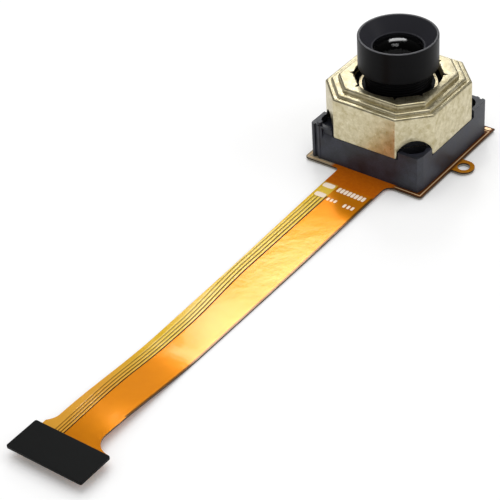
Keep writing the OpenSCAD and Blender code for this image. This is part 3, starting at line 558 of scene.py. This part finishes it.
# Glass-filled nylon: black with a cool grey bloom where the fibres reach the surface
base_plastic = moulded("moulded_glass_filled_nylon", "#1b1c23", "#373a47", 0.42, 9.0, 0.5, 0.46)
broken_edges("lens_holder", "base", base_plastic, 0.07, 3)

# ---------------------------------------------------------------------------
# Infrared filter: a pane of blue-tinted coated glass glued over the window in the base.


def clear(name, tint, second, roughness, ior, **sockets):
    """A polished see-through piece with slow, very shallow waves."""
    made, tree, surface = surface_of(name, Roughness=roughness, IOR=ior, Transmission_Weight=1.0, **sockets)
    waves = add(tree, "TexNoise", {"Vector": in_mm(tree), "Scale": 0.5, "Detail": 1.0})
    shade = add(tree, "MixRGB", {"Fac": waves, "Color1": linear(tint), "Color2": linear(second)})
    tree.links.new(shade.outputs[0], surface.inputs["Base Color"])
    bump = add(tree, "Bump", {"Height": waves, "Strength": 0.02, "Distance": 0.01 * MM})
    tree.links.new(bump.outputs[0], surface.inputs["Normal"])
    return made


# Filter glass: clear with a pale cyan tint
finish_with("ir_cut_filter", clear("blue_filter_glass", "#b9dbe4", "#c4e2e8", 0.02, 1.52))

# ---------------------------------------------------------------------------
# Motor base: a moulded ring that drops into the base's recess, carries the lower springs
# and guides the two terminals, which are soldered to the flex circuit.

# Motor plastic: satin charcoal with a fine spark-eroded grain
motor_plastic = moulded("moulded_motor_plastic", "#1b1c1f", "#2d2e33", 0.45, 11.0, 0.35, 0.45)
finish_with("vcm_base", motor_plastic)

# Tinned phosphor bronze: soft shine, slightly yellow
finish_with("terminals", metal("tinned_phosphor_bronze", "#d6c493", "#b3a06c", 0.32, 0.08, 7.0, 0.3,
                               (1, 1, 0.3)))
# Solder: bright where it flowed, dull and wrinkled where it set last
finish_with("solder_joints", metal("tin_silver_solder", "#d4d4d0", "#a6a6a2", 0.26, 0.12, 5.0, 0.8))

# ---------------------------------------------------------------------------
# Leaf springs: etched from thin copper alloy. Their frames are held in the motor and their
# inner rings move with the lens, so each spring bends across the two.

# Etched leaf: pale brass-coloured and bright, so that the ring shows as a line of light
spring_alloy = metal("etched_copper_alloy_leaf", "#eadfc0", "#cdbb90", 0.3, 0.08, 6.0, 0.35)
finish_with("upper_leaf_spring", spring_alloy)
finish_with("lower_leaf_springs", spring_alloy)

# ---------------------------------------------------------------------------
# Magnets and their frame: four nickel-plated blocks snapped into the windows of a moulded
# octagonal frame round the coil.

finish_with("magnet_frame", motor_plastic)
# Nickel plating: a cool, bright grey
nickel = metal("nickel_plated_magnet", "#b9bcc0", "#8b8f94", 0.2, 0.06, 5.0, 0.3)
for side in ("front", "right", "back", "left"):
    finish_with("magnet_" + side, nickel)

# ---------------------------------------------------------------------------
# Can: soft steel drawn into a stepped octagon and plated, a pale champagne colour. The
# drawing leaves a mottled skin on its flats, and the steps are bright along their edges.

# Drawn steel: pale champagne in soft mottled patches, satin enough to blur what it mirrors
can_skin, tree, surface = surface_of("drawn_champagne_steel", Metallic=1.0)
place = in_mm(tree)
upright_place = in_mm(tree, (1, 1, 0.45))
mottle = add(tree, "TexNoise", {"Vector": place, "Scale": 1.3, "Detail": 6.0, "Roughness": 0.68,
                                "Distortion": 0.4})
drawn = add(tree, "TexNoise", {"Vector": upright_place, "Scale": 4.0, "Detail": 4.0, "Roughness": 0.6})
orange_peel = add(tree, "TexVoronoi", {"Vector": place, "Scale": 3.2}, feature="SMOOTH_F1")
worn = add(tree, "MapRange", {"Value": mottle, "From Min": 0.34, "From Max": 0.67})
shade = add(tree, "MixRGB", {"Fac": worn, "Color1": linear("#bcb088"), "Color2": linear("#e4dbbd")})
tree.links.new(shade.outputs[0], surface.inputs["Base Color"])
gloss = add(tree, "MapRange", {"Value": drawn, "From Min": 0.3, "From Max": 0.7, "To Min": 0.26,
                               "To Max": 0.42})
tree.links.new(gloss.outputs[0], surface.inputs["Roughness"])
relief = add(tree, "Math", {0: mottle, 1: orange_peel}, operation="ADD")
bump = add(tree, "Bump", {"Height": relief, "Strength": 0.16, "Distance": 0.03 * MM})
tree.links.new(bump.outputs[0], surface.inputs["Normal"])
broken_edges("vcm_can", "can", can_skin, 0.04, 2, 50)

# ---------------------------------------------------------------------------
# Lens carrier and coil: a moulded bobbin that rides between the springs, wound with
# enamelled copper wire. The barrel is pushed into its bore and fixed with glue.

# Carrier plastic: deep black, darker than the motor's plastic as painted shade, so that the gap round the
# barrel reads as a hole
finish_with("lens_carrier", moulded("carrier_plastic_with_painted_shade", "#08080a", "#121215", 0.5, 11.0, 0.35, 0.15))

# Enamelled copper: the wires lie 0.08 mm apart, drawn 0.16 mm apart so that they show
copper, tree, surface = surface_of("enamelled_copper_winding", Metallic=0.9, Roughness=0.3,
                                   Coat_Weight=0.6, Coat_Roughness=0.15)
place = in_mm(tree)
wires = add(tree, "TexWave", {"Vector": place, "Scale": 1.0, "Distortion": 0.3, "Detail": 1.0},
            bands_direction="Z")
shade = add(tree, "MixRGB", {"Fac": wires, "Color1": linear("#7c4218"), "Color2": linear("#c8793b")})
tree.links.new(shade.outputs[0], surface.inputs["Base Color"])
bump = add(tree, "Bump", {"Height": wires, "Strength": 0.8, "Distance": 0.05 * MM})
tree.links.new(bump.outputs[0], surface.inputs["Normal"])
finish_with("coil", copper)

# ---------------------------------------------------------------------------
# Lens barrel: turned aluminium, black anodised and almost without shine. A fine thread of
# 0.35 mm pitch runs up its neck, and the cone in its mouth is cut in shallow steps.

THREAD_PITCH = 0.35
THREAD_H = 0.11
THREAD_SUNK = 0.03
FOOT_HALF, CREST_HALF = 0.15, 0.03
ABOVE_SPRING, THREAD_TOP = 0.25, 11.62
TURN_STEPS, FADE_STEPS = 96, 24
NECK_R = 3.9
MOUTH_R, MOUTH_FROM = 4.52, 12.0
RIM_FROM, RIM_FULL = 0.07, 0.03
RIM_METALLIC = 0.6

# Black anodising: near-black with hardly any shine, painted paler in the mouth as painted light,
# and painted lighter along the rim as a painted highlight, where it is also partly metallic
barrel_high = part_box("lens_barrel")[1] / MM
anodised, tree, surface = surface_of("black_anodised_aluminium", Specular_IOR_Level=0.09)
place = in_mm(tree)
turned = in_mm(tree, (0.15, 0.15, 6))
height = add(tree, "SeparateXYZ", {"Vector": place}).outputs["Z"]
radius = add(tree, "VectorMath", {0: in_mm(tree, (1, 1, 0))}, operation="LENGTH").outputs["Value"]
lathe = add(tree, "TexNoise", {"Vector": turned, "Scale": 2.0, "Detail": 3.0, "Roughness": 0.6})
dust = add(tree, "TexNoise", {"Vector": place, "Scale": 9.0, "Detail": 4.0, "Roughness": 0.7})
shade = add(tree, "MixRGB", {"Fac": lathe, "Color1": linear("#060607"), "Color2": linear("#0e0e11")})
# Painted light: the mouth's cone is painted paler than the rest of the same anodising
in_mouth = add(tree, "Math", {0: add(tree, "Math", {0: radius, 1: MOUTH_R}, operation="LESS_THAN"),
                              1: add(tree, "Math", {0: height, 1: MOUTH_FROM}, operation="GREATER_THAN")},
               operation="MULTIPLY")
shade = add(tree, "MixRGB", {"Fac": in_mouth, "Color1": shade, "Color2": linear("#303035")})
# Painted highlight: a lighter grey colour along the rim, where the surface is also partly metallic
on_rim = add(tree, "MapRange", {"Value": height, "From Min": barrel_high.z - RIM_FROM,
                                "From Max": barrel_high.z - RIM_FULL})
rim_painted_highlight = add(tree, "MixRGB", {"Fac": dust, "Color1": linear("#353537"), "Color2": linear("#59595c")})
shade = add(tree, "MixRGB", {"Fac": on_rim, "Color1": shade, "Color2": rim_painted_highlight})
rim_metallic = add(tree, "Math", {0: on_rim, 1: RIM_METALLIC}, operation="MULTIPLY")
tree.links.new(rim_metallic.outputs[0], surface.inputs["Metallic"])
tree.links.new(shade.outputs[0], surface.inputs["Base Color"])
gloss = add(tree, "MapRange", {"Value": dust, "From Min": 0.3, "From Max": 0.7, "To Min": 0.28,
                               "To Max": 0.42})
tree.links.new(gloss.outputs[0], surface.inputs["Roughness"])
bump = add(tree, "Bump", {"Height": lathe, "Strength": 0.12, "Distance": 0.01 * MM})
tree.links.new(bump.outputs[0], surface.inputs["Normal"])
broken_edges("lens_barrel", "barrel", anodised, 0.06, 3)

# The thread: one ridge wound up the neck, which fades in and out at its ends
work = bmesh.new()
thread_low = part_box("upper_leaf_spring")[1].z / MM + ABOVE_SPRING
last = int((THREAD_TOP - thread_low) / THREAD_PITCH * TURN_STEPS)
foot = NECK_R - THREAD_SUNK
rows = []
for k in range(last + 1):
    a = 2 * math.pi * k / TURN_STEPS
    z = thread_low + THREAD_PITCH * k / TURN_STEPS
    fade = min(1.0, k / FADE_STEPS, (last - k) / FADE_STEPS)
    crest = foot + (THREAD_H + THREAD_SUNK) * fade
    rows.append([work.verts.new((r * math.cos(a), r * math.sin(a), z + dz)) for r, dz in (
        (foot, -FOOT_HALF), (crest, -CREST_HALF), (crest, CREST_HALF), (foot, FOOT_HALF))])
for low, high in zip(rows, rows[1:]):
    for k in range(4):
        work.faces.new((low[k], high[k], high[(k + 1) % 4], low[(k + 1) % 4]))
work.faces.new(rows[0])
work.faces.new(list(reversed(rows[-1])))
new_piece("barrel_thread", work, anodised, "lens_group", 50)

# ---------------------------------------------------------------------------
# Lenses: four moulded elements in the barrel, each with an anti-reflection coating, the
# first one large and domed. The stop and the spacers between them are matt black.

GLINT_AT = (-0.1, 0.125, 0)
GLINT_TOWARDS = (-0.626, 0.780, 0)
GLINT_R, GLINT_R_FULL = 1.12, 0.98
GLINT_FROM, GLINT_FULL = 0.12, 0.24

# Front lens: smoky glass whose coating takes away most of the reflection, hence the low
# index. A half disc of stronger coat on its far side gives the one bright half-moon.
front_glass = clear("coated_front_lens", "#23252f", "#2b2d3a", 0.02, 1.13, Coat_IOR=1.75,
                    Coat_Roughness=0.05)
tree = front_glass.node_tree
radius = add(tree, "VectorMath", {0: in_mm(tree, (1, 1, 0)), 1: GLINT_AT},
             operation="DISTANCE").outputs["Value"]
disc = add(tree, "MapRange", {"Value": radius, "From Min": GLINT_R, "From Max": GLINT_R_FULL})
beyond = add(tree, "VectorMath", {0: in_mm(tree), 1: GLINT_TOWARDS},
             operation="DOT_PRODUCT").outputs["Value"]
far_side = add(tree, "MapRange", {"Value": beyond, "From Min": GLINT_FROM, "From Max": GLINT_FULL})
disc = add(tree, "Math", {0: disc, 1: far_side}, operation="MULTIPLY")
tree.links.new(disc.outputs[0], tree.nodes["Principled BSDF"].inputs["Coat Weight"])
finish_with("front_lens", front_glass)
# Inner lenses: clear, with the faintest cool tint
for name in ("second_lens", "third_lens", "rear_lens"):
    finish_with(name, clear("coated_" + name, "#dfe8ee", "#e8eff3", 0.02, 1.53))
# Blackened film: dead matt, so that nothing inside the lens glints
black_film = moulded("matt_black_film", "#101012", "#1b1b1e", 0.6, 14.0, 0.3, 0.3)
for name in ("aperture_stop", "front_spacer", "rear_spacer", "rear_retainer"):
    finish_with(name, black_film)
